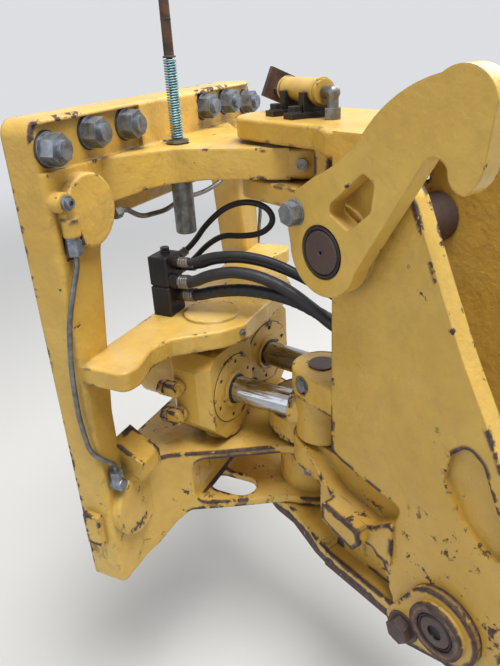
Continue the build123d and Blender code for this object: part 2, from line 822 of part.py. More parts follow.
def boom_lock_hook():
    window = outline([
        (-250.0, -33.0), (-267.0, -43.0), (-262.0, -76.0), (-228.0, -104.0), (-197.0, -88.0), (-199.0, -75.0),
    ])
    plate = side_slab(hook_blade() - fillet(window.vertices(), 7.0), -hook_inner_x - hook_thickness, -hook_inner_x)
    plate += cross_pin(hook_pin_y, hook_pin_z, 46.0, -hook_inner_x - 1.0, -hook_inner_x + 7.0)
    return plate - cross_pin(hook_pin_y, hook_pin_z, hook_pin_radius + pin_clearance, -200.0, -100.0)


def hook_bolt():
    return side_bolt(-hook_inner_x - hook_thickness, -137.0, -96.0, 27.0, 13.0, 17.0)


def along_lock(shape):
    # From the lock cylinder's own frame, with its axis along Y, to its place on the upper fork.
    return Pos(lock_x, 0, lock_axis_z) * Rot(0, 0, lock_turn) * shape


def lock_cylinder():
    body = frontal(0, 0, lock_front_y, lock_radius, lock_length)
    body += frontal(0, 0, lock_front_y - lock_length + 12.0, lock_radius + 2.0, 6.0)
    body += frontal(0, 0, lock_front_y - 2.0, lock_radius + 1.5, 5.0)
    return along_lock(body - frontal(0, 0, lock_front_y + 1.0, lock_rod_radius + sliding_clearance, 90.0))


def lock_bracket():
    base_z = fork_top - lock_axis_z
    body = Pos(0, -10.0, base_z + 2.0) * Box(2 * lock_radius - 4.0, 60.0, 4.0)
    for y in (18.0, -38.0):
        strap = Pos(0, y, base_z / 2) * Box(2 * lock_radius + 12.0, 14.0, -base_z)
        strap += Pos(-16.0, y, base_z + 4.0) * Box(58.0, 24.0, 8.0)
        strap -= frontal(0, 0, lock_front_y + 1.0, lock_radius + seat_gap, lock_length + 2.0)
        bolt = Pos(-34.0, y, base_z + 8.0) * (Cylinder(10.0, 3.0) + extrude(hexagon(16.0), amount=9.0))
        body += strap + bolt
    return along_lock(body)


def lock_elbow():
    rear = lock_front_y - lock_length
    body = frontal(0, 0, rear, 8.0, 22.0)
    body += Pos(0, rear - 20.0, 0) * Sphere(10.0)
    body += Pos(0, rear - 20.0, (fork_top - lock_axis_z) / 2) * Cylinder(8.0, lock_axis_z - fork_top)
    body += Pos(0, rear - 20.0, fork_top - lock_axis_z + 1.0) * extrude(hexagon(21.0), amount=14.0)
    return along_lock(body)


def lock_rod():
    rod = frontal(0, 0, lock_front_y + 24.0, lock_rod_radius, 100.0)
    nut = Pos(0, lock_front_y + 24.0, 0) * extrude(Plane.XZ * hexagon(18.0), amount=9.0)
    return along_lock(rod + nut)


def lock_plate():
    plate = Rot(0, 24.0, 0) * Box(42.0, 9.0, 44.0)
    return along_lock(Pos(0, lock_front_y + 24.0 + 4.5, 3.0) * plate)


def swing_lock_pin():
    # Drops through the upper ear to pin the post for travel, and is pulled up by its rod.
    x, y = swing_lock_x, swing_lock_y
    pin = post(x, y, swing_lock_radius, -180.0, ear_top - 3.0)
    pin = chamfer(pin.edges().filter_by(GeomType.CIRCLE), 2.0)
    washer = post(x, y, 14.0, ear_top - 3.0, spring_bottom)
    return pin + washer


def pull_rod():
    x, y = swing_lock_x, swing_lock_y
    return post(x, y, pull_rod_radius, spring_bottom, 190.0) + post(x, y, 13.0, spring_top + 2.0, spring_top + 6.0)


def pin_spring():
    height = spring_top - spring_bottom - 2 * spring_wire - 1.0
    path = Helix(pitch=spring_pitch * 2, height=height, radius=spring_radius)
    section = Plane(origin=path @ 0, z_dir=path % 0) * RegularPolygon(spring_wire, 4)
    return Pos(swing_lock_x, swing_lock_y, spring_bottom + spring_wire + 0.5) * sweep(section, path=path)


def spring_clip():
    # A bent wire clip through the foot of the pull rod.
    x, y = swing_lock_x, swing_lock_y
    level = spring_bottom - 3.0
    ring = post(x, y, 18.0, level - 1.5, level + 1.5) - post(x, y, 15.0, level - 2.0, level + 2.0)
    return ring + Pos(x, y + 21.0, level) * Box(5.0, 10.0, 3.0)


def ear_plugs():
    # Screwed plugs that lock the swing pins, one in the side of each bearing.
    group = []
    for z, radius in (((ear_top + ear_bottom) / 2, ear_radius), (arm_top - arm_plug_drop, arm_boss_radius)):
        plug = Cylinder(8.0, 6.0) - Pos(0, 0, 2.0) * extrude(hexagon(7.0), amount=3.0)
        group.append(Pos(0, axis_y, z) * Rot(0, 0, 194.0) * Pos(radius + 3.5, 0, 0) * Rot(0, 90, 0) * plug)
    return Compound(children=group)


def lug_bolts():
    # The bolt that locks each lug pin, with its head on the lug's outer side.
    bolt = side_bolt(-lug_x - lug_nose_radius + lug_bolt_seat, lug_y - 4.0, lug_bolt_z, 21.0, 4.5, 12.5)
    return placed(Compound(children=[bolt, mirror(bolt, Plane.YZ)]))


def clamp_plug(side):
    # A socket plug on the lobe beside the upper clamp.
    x, z, lobe = clamp_plug_seat
    plug = Pos(0, 0, 2.5) * Cylinder(lobe - 4.0, 5.0)
    plug += Pos(0, 0, 5.0) * (Pos(0, 0, 2.5) * Cylinder(lobe - 7.0, 5.0) - extrude(hexagon(7.0), amount=6.0))
    return Pos(side * x, -frame_depth - boss_height, z) * Rot(90, 0, 0) * plug


def route(points):
    # Straight runs joined by tangent arcs, each as large as its two runs allow.
    stops = [Vector(*p) for p in points]
    radii = []
    for a, b, c in zip(stops, stops[1:], stops[2:]):
        half_turn = math.radians((b - a).get_angle(c - b)) / 2
        radii.append(0.45 * min((b - a).length, (c - b).length) / math.tan(half_turn))
    return FilletPolyline(*stops, radius=radii), radii


def tube(name, points, radius):
    path, radii = route(points)
    body = sweep(Plane(origin=path @ 0, z_dir=path % 0) * Circle(radius), path=path)
    share = body.volume / (math.pi * radius ** 2 * path.length)
    print(name, "length", round(path.length), "radii", [round(r) for r in radii], "volume share", round(share, 4))
    return body


def manifold():
    # The hoses' block on the trunnion plate, two halves high, with its ports behind and beside.
    half = manifold_height / 2
    low = (Align.CENTER, Align.CENTER, Align.MIN)
    size = (2 * manifold_half_width, 2 * manifold_half_depth)
    block = Pos(manifold_x, manifold_y, trunnion_plate_top) * Box(*size, half, align=low)
    upper = Pos(manifold_x, manifold_y, trunnion_plate_top + half + 2.0) * Box(*size, half - 2.0, align=low)
    joint = Pos(manifold_x, manifold_y, trunnion_plate_top + half) * Box(size[0] - 6.0, size[1] - 6.0, 6.0)
    body = chamfer(block.edges(), 2.0) + chamfer(upper.edges(), 2.0) + joint
    face = manifold_y - manifold_half_depth
    for radius, (x, z), way, end in hoses.values():
        body += frontal(x, z, face + 2.0, radius + 3.0, port_length + 2.0)
    side = manifold_x + manifold_half_width
    for y, z in (loop_start, loop_end):
        body += cross_pin(y, z, loop_hose_radius + 3.0, side - 2.0, side + port_length)
    top = trunnion_plate_top + manifold_height
    bolt = Pos(manifold_x + 8.0, manifold_y + 2.0, top) * (Pos(0, 0, 1.0) * Cylinder(8.0, 3.0))
    return body + bolt + Pos(manifold_x + 8.0, manifold_y + 2.0, top + 2.0) * extrude(hexagon(13.0), amount=7.0)


def crossing_hose(name):
    # From its port on the manifold over the swing axis to its union in the post's bulkhead.
    radius, (x, z), way, (end_x, end_z) = hoses[name]
    face = manifold_y - manifold_half_depth - port_length
    start = (x, face, z)
    clear = (x, face - 26.0, z)
    ahead = (*parked_point(end_x, bulkhead_y + port_length + 40.0), end_z)
    end = (*parked_point(end_x, bulkhead_y + port_length), end_z)
    return tube(name, [start, clear, *way, ahead, end], radius)


def loop_hose():
    port_x = manifold_x + manifold_half_width + port_length
    first = (port_x + 16.0, *loop_start)
    last = (port_x + 18.0, *loop_end)
    way = [(port_x, *loop_start), first, *loop_way, last, (port_x, *loop_end)]
    return tube("loop", way, loop_hose_radius)


def bulkhead():
    # A plate on the post's front wall, where the crossing hoses are screwed on.
    foot = upper_lug_top + 20.0
    low = bulkhead_gap - cheek_inner
    plate = Pos((low + bulkhead_high) / 2, bulkhead_y - bulkhead_thickness / 2, (foot + bulkhead_top) / 2) * Box(
        bulkhead_high - low, bulkhead_thickness, bulkhead_top - foot)
    plate = fillet(plate.edges().filter_by(Axis.Y).group_by(Axis.Z)[-1], 12.0)
    for radius, port, way, (x, z) in hoses.values():
        plate += Pos(x, bulkhead_y + port_length, z) * extrude(
            Plane.XZ * hexagon(2 * radius + 7.0), amount=port_length + 1.0)
        plate += frontal(x, z, bulkhead_y - bulkhead_thickness + 1.0, radius + 2.0, 9.0)
    return plate


def clamp_fittings():
    # A nut under the lobe of each upper clamp, one on a stub by each lower clamp, and the cross pipe's two.
    group = []
    for side in (-1, 1):
        x = side * union_x
        collar = post(x, union_y, union_lobe - 2.0, union_top - 6.0, union_top)
        nut = Pos(x, union_y, union_top - union_reach) * extrude(hexagon(20.0), amount=union_reach - 6.0)
        stub = frontal(x, union_low, -frame_depth, 11.0, 23.0)
        stub = fillet(stub.edges().sort_by(Axis.Y)[0], 3.0)
        low_nut = Pos(x, union_y, union_low) * extrude(hexagon(20.0), amount=union_reach)
        low, high = sorted((side * supply_x, side * (supply_x - 14.0)))
        cross_nut = Pos(low, union_y, supply_level) * extrude(Plane.YZ * hexagon(15.0), amount=high - low)
        group += [collar + nut, stub + low_nut, cross_nut]
    return Compound(children=group)


def clamp_pipe(side):
    # Down the flank from the upper clamp to the lower one.
    top = union_top - union_reach
    foot = union_low + union_reach
    way = [
        (union_x, union_y, top),
        (union_x, union_y, top - 14.0),
        (union_x + 12.0, union_y, top - 36.0),
        (half_width + 8.0, union_y + 6.0, -236.0),
        (half_width + 10.0, union_y + 19.0, -316.0),
        (half_width + 10.0, union_y + 23.0, -400.0),
        (half_width + 10.0, union_y + 14.0, -462.0),
        (union_x + 11.0, union_y - 3.0, foot + 24.0),
        (union_x, union_y, foot + 12.0),
        (union_x, union_y, foot),
    ]
    return tube("clamp pipe", [(side * x, y, z) for x, y, z in way], pipe_radius)


def supply_pipe():
    # Across under the ear, behind the lock pin, from one upper clamp to the other.
    y = union_y
    inner = supply_x - 14.0
    way = [
        (-inner, y, supply_level),
        (-inner + 16.0, y, supply_level),
        (-134.0, y - 2.0, supply_level - 20.0),
        (-63.0, y - 3.0, supply_level - 27.0),
        (-14.0, y - 2.0, supply_level - 19.0),
        (63.0, y - 3.0, supply_level - 26.0),
        (134.0, y - 2.0, supply_level - 20.0),
        (inner - 16.0, y, supply_level),
        (inner, y, supply_level),
    ]
    return tube("supply pipe", way, pipe_radius)


os.makedirs("parts", exist_ok=True)

save("carriage_casting", carriage_casting())
save("flange_bolts", flange_bolts())
save("upper_swing_pin", swing_pin(second_fork_bottom, fork_top - 2.0))
save("lower_swing_pin", swing_pin(foot_plate_bottom, lower_lug_top))
save("ear_plugs", ear_plugs())
save("swing_lock_pin", swing_lock_pin())
save("pull_rod", pull_rod())
save("pin_spring", pin_spring())
save("spring_clip", spring_clip())
save("manifold", manifold())
save("clamp_fittings", clamp_fittings())
save("clamp_pipes", Compound(children=[clamp_pipe(-1), clamp_pipe(1)]))
save("supply_pipe", supply_pipe())
save("hose_fixed_loop", loop_hose())
for name in hoses:
    save(f"hose_{name}", crossing_hose(name))
save("bulkhead", placed(bulkhead()))
save("swing_post", placed(swing_post()))
for side, name in ((-1, "near"), (1, "far")):
    flip = (lambda shape: shape) if side < 0 else (lambda shape: mirror(shape, Plane.YZ))
    save(f"swing_barrel_{name}", cylinder_placed(flip(trunnion_barrel()), side))
    save(f"swing_gland_{name}", cylinder_placed(gland(), side))
    save(f"port_fittings_{name}", cylinder_placed(flip(port_fittings()), side))
    save(f"swing_rod_{name}", cylinder_placed(swing_rod(side), side))
    save(f"rod_eye_{name}", cylinder_placed(rod_eye(side), side))
    save(f"lug_pin_{name}", lug_pin(side))
    save(f"clamp_plug_{name}", clamp_plug(side))
save("lug_bolts", lug_bolts())
save("boom_lock_hook", placed(boom_lock_hook()))
save("hook_bolt", placed(hook_bolt()))
save("hook_pin", placed(cross_pin(hook_pin_y, hook_pin_z, hook_pin_radius, -hook_inner_x - hook_thickness + 3.0,
                                  post_half + 4.0)))
save("foot_pin", placed(cross_pin(foot_pin_y, foot_pin_z, foot_pin_radius, -post_half - keeper_thickness - 6.0,
                                  post_half + 4.0)))
save("foot_pin_keeper", placed(foot_pin_keeper()))
save("keeper_bolt", placed(side_bolt(-post_half - keeper_thickness, *keeper_bolt, 34.0, 14.0, 25.0)))
save("lock_cylinder", placed(lock_cylinder()))
save("lock_bracket", placed(lock_bracket()))
save("lock_elbow", placed(lock_elbow()))
save("lock_rod", placed(lock_rod()))
save("lock_plate", placed(lock_plate()))
for side, name in ((-1, "near"), (1, "far")):
    print(name, [round(v, 3) for v in cylinder_frame(side)])
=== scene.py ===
"""The looks of the swing carriage and its post: materials, hoses, turned pieces and the stage.

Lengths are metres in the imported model's frame: the origin is on the carriage's flat rear face,
X runs across it, the carriage stands towards -Y, and Z is up. The hoses' routes and the pins'
places are written in millimetres, and metres() or parked() turn them into that frame.
"""
import json
import math

import bpy
from mathutils import Matrix, Vector


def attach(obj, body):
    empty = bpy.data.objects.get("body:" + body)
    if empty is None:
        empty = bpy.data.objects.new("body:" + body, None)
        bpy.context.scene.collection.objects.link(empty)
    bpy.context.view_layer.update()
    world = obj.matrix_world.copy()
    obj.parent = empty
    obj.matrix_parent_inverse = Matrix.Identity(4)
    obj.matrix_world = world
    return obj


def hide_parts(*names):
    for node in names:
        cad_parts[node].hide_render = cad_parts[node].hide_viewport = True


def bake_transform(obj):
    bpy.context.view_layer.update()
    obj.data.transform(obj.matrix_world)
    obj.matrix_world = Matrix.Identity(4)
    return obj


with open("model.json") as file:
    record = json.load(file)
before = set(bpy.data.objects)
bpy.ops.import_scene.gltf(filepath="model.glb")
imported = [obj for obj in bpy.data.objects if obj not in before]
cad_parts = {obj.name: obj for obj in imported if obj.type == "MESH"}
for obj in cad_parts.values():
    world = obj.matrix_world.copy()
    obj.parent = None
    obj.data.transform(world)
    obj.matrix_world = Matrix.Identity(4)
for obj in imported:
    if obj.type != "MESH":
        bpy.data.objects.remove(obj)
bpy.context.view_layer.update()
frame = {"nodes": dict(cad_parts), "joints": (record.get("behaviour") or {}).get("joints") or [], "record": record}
nodes = frame["nodes"]
joints = {joint["name"]: joint for joint in frame["joints"]}
slot_of = {part["node"]: part["material_slot"] for part in frame["record"]["subparts"]}


# Materials

LIGHT_OCHRE = (0.72, 0.474, 0.098)
DEEP_OCHRE = (0.60, 0.364, 0.058)
WEATHERED = (0.50, 0.315, 0.085)
DUST = (0.62, 0.51, 0.30)
# The dark brown of the painted shade and dirt in corners.
CORNER_SHADE_AND_DIRT = (0.10, 0.062, 0.028)
GREASE = (0.27, 0.165, 0.055)
DARK_PRIMER = (0.036, 0.022, 0.024)
WARM_PRIMER = (0.110, 0.058, 0.046)
BARE_ZINC = (0.55, 0.57, 0.60)
ZINC_RUST = (0.10, 0.050, 0.022)
CLEAN_CHROME = (0.46, 0.47, 0.50)
OILY_CHROME = (0.17, 0.14, 0.12)
SCRATCHED_CHROME = (0.10, 0.09, 0.09)
RUBBED_IRON = (0.26, 0.23, 0.22)
CLEAN_RUBBER = (0.011, 0.012, 0.017)
DUSTY_RUBBER = (0.062, 0.063, 0.068)

CORNER_REACH = 0.035  # how near two surfaces are where painted shade and dirt darken the paint
CHIP_REACH = 0.0098  # how far from an edge its paint can chip
BEVEL_SAMPLES = 6


class Shader:
    """A material in the making. Each method adds nodes and returns the socket with the result."""

    def __init__(self, name):
        self.material = bpy.data.materials.new(name)
        self.material.use_nodes = True
        self.tree = self.material.node_tree
        self.bsdf = self.tree.nodes["Principled BSDF"]
        self.place = self.add("ShaderNodeTexCoord").outputs["Object"]

    def add(self, kind, **settings):
        node = self.tree.nodes.new(kind)
        for key, value in settings.items():
            setattr(node, key, value)
        return node

    def join(self, source, target):
        """Links a socket, or sets a plain value."""
        if isinstance(source, bpy.types.NodeSocket):
            self.tree.links.new(source, target)
        else:
            target.default_value = source

    def noise(self, scale, detail=3.0, rough=0.55, distortion=0.0):
        node = self.add("ShaderNodeTexNoise")
        self.join(self.place, node.inputs["Vector"])
        self.join(scale, node.inputs["Scale"])
        self.join(detail, node.inputs["Detail"])
        self.join(rough, node.inputs["Roughness"])
        self.join(distortion, node.inputs["Distortion"])
        return node.outputs["Fac"]

    def math(self, operation, a, b=0.0, clamp=False):
        node = self.add("ShaderNodeMath", operation=operation, use_clamp=clamp)
        self.join(a, node.inputs[0])
        self.join(b, node.inputs[1])
        return node.outputs[0]

    def times(self, a, b, clamp=False):
        return self.math("MULTIPLY", a, b, clamp)

    def plus(self, a, b):
        return self.math("ADD", a, b)

    def flip(self, value, clamp=False):
        """One less the value."""
        return self.math("SUBTRACT", 1.0, value, clamp)

    def ramp(self, value, low, high, out=(0.0, 1.0)):
        """A smooth step from out[0] at low to out[1] at high."""
        node = self.add("ShaderNodeMapRange", interpolation_type="SMOOTHSTEP")
        self.join(value, node.inputs["Value"])
        self.join(low, node.inputs["From Min"])
        self.join(high, node.inputs["From Max"])
        self.join(out[0], node.inputs["To Min"])
        self.join(out[1], node.inputs["To Max"])
        return node.outputs["Result"]

    def mix(self, factor, a, b):
        """Colour a where the factor is 0 and b where it is 1."""
        node = self.add("ShaderNodeMix", data_type="RGBA")
        self.join(factor, node.inputs["Factor"])
        sockets = [socket for socket in node.inputs if socket.type == "RGBA"]
        for socket, colour in zip(sockets, (a, b)):
            self.join((*colour, 1.0) if isinstance(colour, tuple) else colour, socket)
        return next(socket for socket in node.outputs if socket.type == "RGBA")

    def axes(self, vector):
        """The X, Y and Z of a vector, by name."""
        split = self.add("ShaderNodeSeparateXYZ")
        self.join(vector, split.inputs["Vector"])
        return split.outputs

    def height(self):
        return self.axes(self.place)["Z"]

    def facing_up(self):
        return self.axes(self.add("ShaderNodeNewGeometry").outputs["Normal"])["Z"]

    def edge(self, radius):
        """How far the surface turns within the radius: 0 on a flat, more along an edge."""
        bevel = self.add("ShaderNodeBevel", samples=BEVEL_SAMPLES)
        self.join(radius, bevel.inputs["Radius"])
        geometry = self.add("ShaderNodeNewGeometry")
        dot = self.add("ShaderNodeVectorMath", operation="DOT_PRODUCT")
        self.join(bevel.outputs["Normal"], dot.inputs[0])
        self.join(geometry.outputs["Normal"], dot.inputs[1])
        return self.flip(dot.outputs["Value"], clamp=True)

    def sharpness(self, distance):
        """How little solid lies behind the surface: 0 on a flat, a half along a square edge."""
        node = self.add("ShaderNodeAmbientOcclusion", samples=10, inside=True, only_local=True)
        self.join(distance, node.inputs["Distance"])
        return self.flip(node.outputs["AO"])

    def openness(self, distance):
        """One in the open, less where other surfaces stand near."""
        node = self.add("ShaderNodeAmbientOcclusion", samples=6)
        self.join(distance, node.inputs["Distance"])
        return node.outputs["AO"]

    def bump(self, height, distance, strength=1.0, below=None):
        node = self.add("ShaderNodeBump")
        self.join(height, node.inputs["Height"])
        self.join(distance, node.inputs["Distance"])
        self.join(strength, node.inputs["Strength"])
        if below is not None:
            self.join(below, node.inputs["Normal"])
        return node.outputs["Normal"]

    def finish(self, colour, roughness, metallic=0.0, normal=None):
        self.join(colour, self.bsdf.inputs["Base Color"])
        self.join(roughness, self.bsdf.inputs["Roughness"])
        self.join(metallic, self.bsdf.inputs["Metallic"])
        if normal is not None:
            self.join(normal, self.bsdf.inputs["Normal"])
        return self.material


def paint_colour(s, shade_and_grime):
    """Enamel in two tones, with dust on what faces up, painted shade and dirt in corners and a film in patches."""
    tone = s.ramp(s.noise(5.0, detail=4.0, rough=0.6), 0.3, 0.7)
    weather = s.times(s.ramp(s.noise(46.0, detail=4.0, rough=0.6), 0.35, 0.75), 0.35)
    paint = s.mix(weather, s.mix(tone, DEEP_OCHRE, LIGHT_OCHRE), WEATHERED)
    dusty = s.times(
        s.ramp(s.facing_up(), 0.3, 1.0),
        s.ramp(s.noise(14.0, detail=5.0), 0.35, 0.75),
    )
    paint = s.mix(s.times(dusty, 0.28), paint, DUST)
    # Painted shade and dirt: in patches the paint turns dark brown where other surfaces stand near.
    corner = s.flip(s.ramp(s.openness(CORNER_REACH), 0.20, 0.80))
    shade_and_dirt = s.times(corner, s.ramp(s.noise(26.0, detail=5.0), 0.28, 0.62))
    paint = s.mix(s.times(shade_and_dirt, shade_and_grime), paint, CORNER_SHADE_AND_DIRT)
    greasy = s.ramp(s.noise(9.0, detail=6.0, rough=0.7, distortion=0.6), 0.50, 0.72)
    return s.mix(s.times(greasy, 0.30 * shade_and_grime), paint, GREASE)


def inside_box(s, spans):
    """One within the box that spans gives as axis: (middle, half), and otherwise nothing."""
    place = s.axes(s.place)
    inside = 1.0
    for axis, (middle, half) in spans.items():
        off = s.math("ABSOLUTE", s.math("SUBTRACT", place[axis], middle))
        inside = s.times(s.math("LESS_THAN", off, half), inside)
    return inside


def chip_mask(s, chips, scrape, spared):
    """Where paint is gone: broad bites along edges, more of them low down, and small flecks."""
    low = s.ramp(s.height(), -0.20, -0.62, out=(0.42, 1.25))
    bites = s.times(s.ramp(s.sharpness(CHIP_REACH), 0.02, 0.28), low)
    if spared:
        bites = s.times(bites, s.flip(inside_box(s, spared)))
    # Along an edge the bites come and go, so that no edge is outlined.
    patches = s.ramp(s.noise(8.5), 0.40, 0.58)
    breaks = s.ramp(s.noise(27.0, rough=0.5), 0.38, 0.58, out=(0.50, 1.32))
    worn = s.times(bites, s.plus(0.30, s.times(patches, 0.70)))
    worn = s.times(s.times(worn, breaks), 0.46 * chips)
    if scrape:
        # What drags has lost its paint from the lowest edge up.
        uneven = s.plus(s.height(), s.times(s.noise(13.0), 0.030))
        worn = s.math("MAXIMUM", worn, s.times(s.ramp(uneven, *scrape), 0.36))
    rag = s.noise(44.0, detail=6.0, rough=0.70, distortion=0.3)
    edge_chips = s.ramp(s.plus(rag, worn), 0.725, 0.745)
    spots = s.noise(30.0, detail=6.0, rough=0.74, distortion=0.4)
    flecks = s.ramp(s.plus(spots, s.times(low, 0.075 * chips)), 0.708, 0.720)
    flat_chips = s.times(flecks, s.ramp(s.noise(3.2), 0.38, 0.50))
    return s.math("MAXIMUM", edge_chips, flat_chips)


def ochre_paint(name, chips, shade_and_grime=0.5, cast=1.0, rounding=0.005, scrape=None, spared=None):
    """Ochre enamel over primer on cast iron.

    chips says how worn it is, grime how strong the painted shade and dirt in its corners and its
    greasy film are, cast how lumpy the casting is, and rounding how wide its rims are rounded. scrape
    is the height where dragging starts to bare the metal and the height where it is bare. spared gives
    the box of a wall too thin to tell edge from flat, which keeps its paint.
    """
    s = Shader(name)
    paint = paint_colour(s, shade_and_grime)
    chip = chip_mask(s, chips, scrape, spared)
    primer = s.mix(s.ramp(s.noise(120.0, detail=4.0), 0.35, 0.7), DARK_PRIMER, WARM_PRIMER)
    rims = s.add("ShaderNodeBevel", samples=BEVEL_SAMPLES)
    s.join(rounding, rims.inputs["Radius"])
    lumps = s.bump(s.noise(28.0, rough=0.5), 0.0042, 0.75 * cast, rims.outputs["Normal"])
    grain = s.bump(s.noise(150.0, rough=0.6), 0.0012, 0.80 * cast, lumps)
    sunk = s.bump(s.flip(chip), 0.0009, 0.9, grain)
    sheen = s.ramp(s.noise(22.0, detail=4.0), 0.3, 0.7, out=(0.27, 0.44))
    return s.finish(s.mix(chip, paint, primer), s.plus(sheen, s.times(chip, 0.25)), normal=sunk)


def zinc(name, tint=(0.30, 0.335, 0.38), rust=0.25):
    """Dull zinc plating, rusty in spots and rubbed bright along its edges."""
    s = Shader(name)
    shade = tuple(0.55 * part for part in tint)
    mottled = s.mix(s.ramp(s.noise(90.0, detail=5.0), 0.3, 0.7), tint, shade)
    corner = s.flip(s.ramp(s.openness(0.008), 0.3, 0.9))
    spread = s.plus(s.noise(70.0, detail=6.0, rough=0.7), s.times(corner, 0.12))
    spots = s.ramp(spread, 0.60, 0.70)
    colour = s.mix(s.times(spots, 2.0 * rust, clamp=True), mottled, ZINC_RUST)
    rubbed = s.ramp(s.edge(0.0014), 0.02, 0.2)
    colour = s.mix(s.times(rubbed, 0.6), colour, BARE_ZINC)
    metal = s.math("SUBTRACT", 0.85, s.times(spots, 1.6 * rust, clamp=True))
    rough = s.ramp(s.noise(120.0), 0.3, 0.7, out=(0.36, 0.55))
    return s.finish(colour, rough, metal, s.bump(s.noise(300.0), 0.0002, 0.5))


def hard_chrome(name):
    """Polished chrome with oil smears, and scratches that run along the rods."""
    s = Shader(name)
    stretch = s.add("ShaderNodeMapping")
    s.join((1.0, 0.06, 1.0), stretch.inputs["Scale"])
    s.join(s.place, stretch.inputs["Vector"])
    s.place = stretch.outputs["Vector"]
    scratch = s.ramp(s.noise(420.0, detail=4.0, rough=0.6), 0.58, 0.66)
    smear = s.ramp(s.noise(26.0, detail=4.0), 0.42, 0.70)
    colour = s.mix(s.times(smear, 0.55), CLEAN_CHROME, OILY_CHROME)
    colour = s.mix(s.times(scratch, 0.4), colour, SCRATCHED_CHROME)
    rough = s.plus(s.ramp(smear, 0.0, 1.0, out=(0.14, 0.34)), s.times(scratch, 0.2))
    return s.finish(colour, rough, 1.0, s.bump(scratch, 0.0001, 0.5))


def dark_iron(name, base, rust, share, shine):
    """Dark oiled iron, share of it rusty at most, with rubbed edges."""
    s = Shader(name)
    blotch = s.ramp(s.noise(24.0, detail=5.0, rough=0.65), 0.38, 0.68)
    colour = s.mix(s.times(blotch, share), base, rust)
    rubbed = s.ramp(s.edge(0.002), 0.02, 0.2)
    colour = s.mix(s.times(rubbed, 0.35), colour, RUBBED_IRON)
    rough = s.ramp(s.noise(60.0, detail=4.0), 0.3, 0.7, out=(shine, shine + 0.22))
    grain = s.bump(s.noise(240.0, detail=4.0, rough=0.6), 0.0005, 0.6)
    return s.finish(colour, rough, 0.45, grain)


def hose_rubber(name):
    """Black rubber, dusty on top."""
    s = Shader(name)
    dusty = s.ramp(s.noise(18.0, detail=5.0, rough=0.6), 0.40, 0.72)
    on_top = s.times(s.ramp(s.facing_up(), 0.0, 1.0), 0.5)
    colour = s.mix(s.times(dusty, on_top), CLEAN_RUBBER, DUSTY_RUBBER)
    rough = s.ramp(s.noise(50.0), 0.3, 0.7, out=(0.42, 0.62))
    return s.finish(colour, rough, normal=s.bump(s.noise(420.0, detail=2.0), 0.0003, 0.5))


paint_cast = ochre_paint(
    "ochre_paint_casting", chips=1.0, shade_and_grime=0.8, scrape=(-0.733, -0.741),
    spared={"Y": (-0.131, 0.0035), "Z": (-0.613, 0.058)},
)
paint_low = ochre_paint("ochre_paint_worn", chips=1.25, scrape=(-0.668, -0.684))
paint_keeper = ochre_paint("ochre_paint_keeper", chips=1.25)
paint_machined = ochre_paint("ochre_paint_block", chips=0.45, shade_and_grime=1.3, cast=0.5, rounding=0.003)
paint_plate = ochre_paint("ochre_paint_plate", chips=0.55, shade_and_grime=0.4, cast=0.7, rounding=0.003)
zinc_nuts = zinc("zinc_nuts")
zinc_dull = zinc("zinc_dull", tint=(0.24, 0.24, 0.235), rust=0.4)
spring_steel = zinc("spring_steel", tint=(0.27, 0.47, 0.53), rust=0.06)
chrome = hard_chrome("hard_chrome_rod")
pin_face = dark_iron(
    "pin_face", (0.085, 0.060, 0.060), (0.13, 0.070, 0.055), share=0.5, shine=0.40)
black_iron = dark_iron(
    "black_iron", (0.018, 0.018, 0.020), (0.06, 0.04, 0.03), share=0.25, shine=0.38)
rusty_plate = dark_iron(
    "rusty_plate", (0.055, 0.038, 0.033), (0.17, 0.08, 0.045), share=0.8, shine=0.62)
rubber = hose_rubber("hose_rubber")

by_slot = {
    "ochre_paint": paint_cast,
    "zinc_steel": zinc_nuts,
    "chrome_rod": chrome,
    "dark_steel": black_iron,
    "black_rubber": rubber,
}
# Nodes that look unlike the rest of their slot, by how their names start. The first match counts.
own_look = {
    paint_low: ("swing_post",),
    paint_plate: ("boom_lock_hook",),
    paint_keeper: ("foot_pin_keeper",),
    paint_machined: ("swing_barrel", "swing_gland", "port_fittings", "rod_eye", "lock_cylinder"),
    pin_face: (
        "hook_pin", "foot_pin", "lug_pin", "keeper_bolt", "upper_swing_pin", "lower_swing_pin"),
    rusty_plate: ("lock_plate", "pull_rod"),
    spring_steel: ("pin_spring",),
    black_iron: ("manifold",),
    zinc_dull: (
        "swing_lock_pin", "spring_clip", "lock_elbow", "lock_rod", "ear_plugs", "bulkhead",
        "clamp_pipes", "supply_pipe"),
}


def look_of(node):
    for material, starts in own_look.items():
        if node.startswith(starts):
            return material
    return by_slot[slot_of[node]]


for node_name, node in nodes.items():
    node.data.materials.clear()
    node.data.materials.append(look_of(node_name))


# Mesh helpers

def metres(points):
    return [tuple(value / 1000 for value in point) for point in points]


PARKED_TURN = math.radians(-27.0)


def parked(x, y, z):
    """A point in the swing post's own frame, in millimetres, at its place as parked, in metres."""
    axis_x, axis_y, axis_z = joints["swing"]["pos_m"]
    return (
        (x * math.cos(PARKED_TURN) - y * math.sin(PARKED_TURN)) / 1000 + axis_x,
        (x * math.sin(PARKED_TURN) + y * math.cos(PARKED_TURN)) / 1000 + axis_y,
        z / 1000 + axis_z,
    )


def add_piece(name, verts, faces, material, smooth_walls=False):
    """A mesh object. With smooth_walls its quads are smooth, and its end caps stay flat."""
    mesh = bpy.data.meshes.new(name)
    mesh.from_pydata([tuple(vert) for vert in verts], [], faces)
    if smooth_walls:
        mesh.polygons.foreach_set("use_smooth", [len(p.vertices) == 4 for p in mesh.polygons])
    mesh.materials.append(material)
    mesh.update()
    piece = bpy.data.objects.new(name, mesh)
    bpy.context.collection.objects.link(piece)
    return piece


def circle(sides):
    """The angles of a circle's corners."""
    return [2 * math.pi * k / sides for k in range(sides)]


